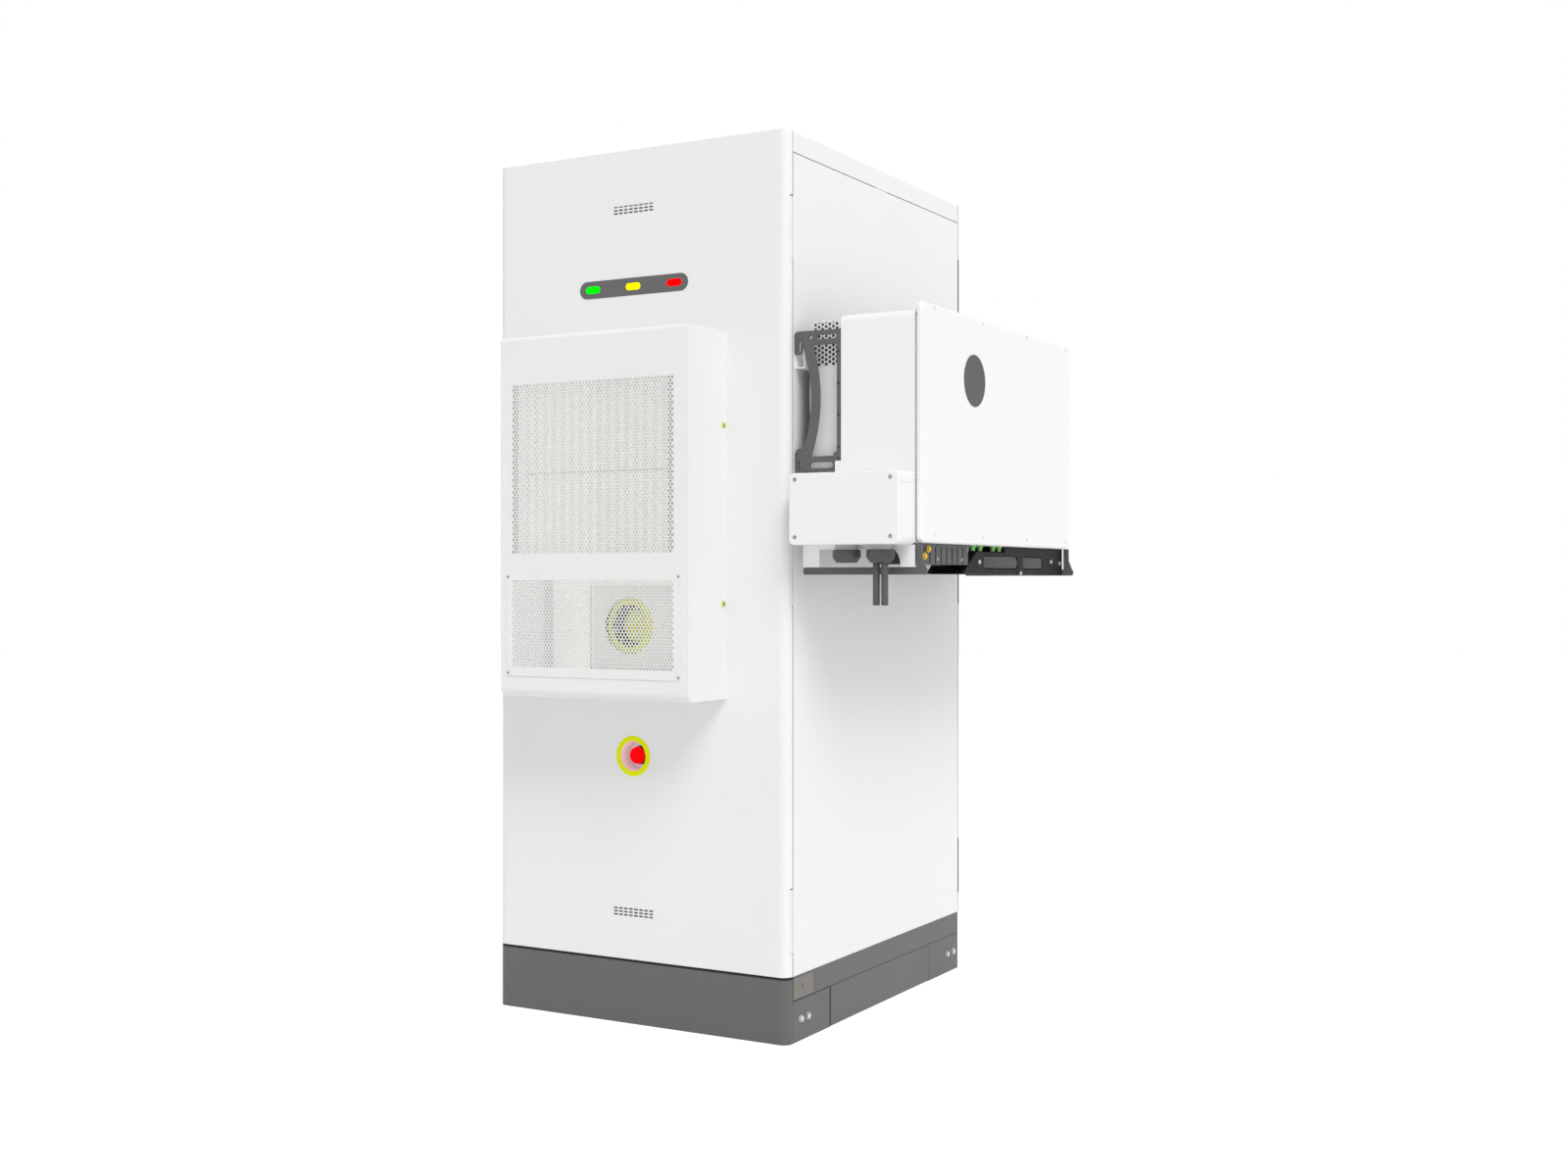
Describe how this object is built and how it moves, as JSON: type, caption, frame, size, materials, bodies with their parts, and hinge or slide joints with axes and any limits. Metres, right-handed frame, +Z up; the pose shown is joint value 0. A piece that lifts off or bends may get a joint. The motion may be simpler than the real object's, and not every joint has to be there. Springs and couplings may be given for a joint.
{
  "type": "outdoor battery cabinet",
  "caption": "Free-standing outdoor battery cabinet with a plinth, front and rear doors, a door-mounted air conditioner, an emergency stop and a side-hung power converter.",
  "frame": {"origin": "on the floor, at the middle of the four anchor holes in the feet, which is the middle of the case", "axes": "+Z up, -Y towards the front door, +X towards the power converter"},
  "size_m": [1.199, 1.2075, 2.15],
  "materials": {
    "white_paint": "satin powder coat",
    "hood_paint": "satin powder coat",
    "plinth_paint": "fine textured powder coat",
    "frame_zinc": "galvanised sheet",
    "zinc_bolt": "bright zinc plating",
    "bronze_plate": "dull bronze",
    "seal_rubber": "matt foam rubber",
    "door_zinc": "zinc plated hinge",
    "lock_black": "black zinc die casting",
    "bar_grey": "dark smoked plastic",
    "lens_green": "lit lens",
    "lens_yellow": "lit lens",
    "lens_red": "lit lens",
    "stop_yellow": "moulded yellow",
    "stop_grey": "moulded grey",
    "stop_black": "moulded black",
    "stop_red": "moulded red",
    "grille_paint": "powder-coated perforated sheet",
    "coil_fins": "coated fins",
    "fan_box_zinc": "painted sheet",
    "fan_yellow": "pale yellow moulding",
    "pack_case": "dark coated case; the density stands for cells in a case",
    "box_case": "grey enclosure; the density stands for switchgear in a case",
    "knob_red": "moulded red",
    "dark_casting": "dark grey powder coat",
    "sink_aluminium": "extruded",
    "vent_paint": "pale grey-green paint",
    "box_plastic": "satin white",
    "gland_black": "black polyamide",
    "cable_jacket": "dark grey jacket",
    "disc_grey": "dark grey",
    "terminal_grey": "dark grey moulding",
    "trough_black": "black moulding",
    "plug_green": "green collar",
    "lug_yellow": "yellow passivated"
  },
  "bodies": {
    "cabinet": {"base_frame": "plinth_paint", "corner_feet": "plinth_paint", "plinth_front_cover": "plinth_paint", "plinth_rear_cover": "plinth_paint", "plinth_side_covers": "plinth_paint", "plinth_bolts": "zinc_bolt", "earth_plate": "bronze_plate", "floor_pan": "frame_zinc", "corner_posts": "frame_zinc", "bottom_frame": "frame_zinc", "top_frame": "frame_zinc", "right_side_panel": "white_paint", "left_side_panel": "white_paint", "roof_cap": "white_paint", "door_seals": "seal_rubber", "hinge_frame_leaves": "door_zinc", "hinge_pins": "door_zinc", "battery_rack": "frame_zinc", "battery_packs": "pack_case", "control_box": "box_case", "converter_wall_rails": "frame_zinc", "converter_front_end_frame": "dark_casting", "converter_rear_end_frame": "dark_casting", "converter_heat_sink": "sink_aluminium", "converter_vent_plates": "vent_paint", "converter_housing": "white_paint", "converter_cover": "white_paint", "status_disc": "disc_grey", "wiring_box": "box_plastic", "wiring_box_lid": "box_plastic", "wiring_box_bracket": "box_plastic", "cable_glands": "gland_black", "power_cable_left": "cable_jacket", "power_cable_right": "cable_jacket", "terminal_block": "terminal_grey", "cable_trough": "trough_black", "signal_plugs": "plug_green", "ground_terminals": "lug_yellow"},
    "front_door": {"front_door_panel": "white_paint", "front_hinge_door_leaves": "door_zinc", "light_bar": "bar_grey", "green_light": "lens_green", "yellow_light": "lens_yellow", "red_light": "lens_red", "estop_ring": "stop_yellow", "estop_cup": "stop_grey", "estop_base": "stop_black", "ac_cover": "hood_paint", "ac_upper_grille": "grille_paint", "ac_service_panel": "grille_paint", "ac_condenser_coil": "coil_fins", "ac_fan_box": "fan_box_zinc", "ac_indoor_unit": "fan_box_zinc"},
    "rear_door": {"rear_door_panel": "white_paint", "rear_hinge_door_leaves": "door_zinc"},
    "front_lock": {"front_lock_handle": "lock_black"},
    "rear_lock": {"rear_lock_handle": "lock_black"},
    "estop_button": {"estop_head": "stop_red"},
    "ac_fan": {"ac_fan_rotor": "fan_yellow"},
    "isolator": {"isolator_knob": "knob_red"}
  },
  "joints": [
    {"name": "front_door_hinge", "type": "hinge", "parent": "cabinet", "child": "front_door", "pos_m": [0.42, -0.478, 1.1], "axis": [0, 0, 1], "range_deg": [0, 95]},
    {"name": "rear_door_hinge", "type": "hinge", "parent": "cabinet", "child": "rear_door", "pos_m": [0.42, 0.49, 1.1], "axis": [0, 0, -1], "range_deg": [0, 110]},
    {"name": "front_lock_turn", "type": "hinge", "parent": "front_door", "child": "front_lock", "pos_m": [-0.353, -0.5, 1.12], "axis": [0, 1, 0], "range_deg": [0, 90]},
    {"name": "rear_lock_turn", "type": "hinge", "parent": "rear_door", "child": "rear_lock", "pos_m": [-0.353, 0.5, 1.12], "axis": [0, 1, 0], "range_deg": [0, 90]},
    {"name": "estop_press", "type": "slide", "parent": "front_door", "child": "estop_button", "axis": [0, 1, 0], "range_m": [0, 0.005], "stiffness_N_per_m": 400},
    {"name": "ac_fan_spin", "type": "hinge", "parent": "front_door", "child": "ac_fan", "pos_m": [0.0815, -0.62, 0.984], "axis": [0, 1, 0], "continuous": true},
    {"name": "isolator_turn", "type": "hinge", "parent": "cabinet", "child": "isolator", "pos_m": [0.17, -0.31, 1.8245], "axis": [0, 1, 0], "range_deg": [0, 90]}
  ]
}
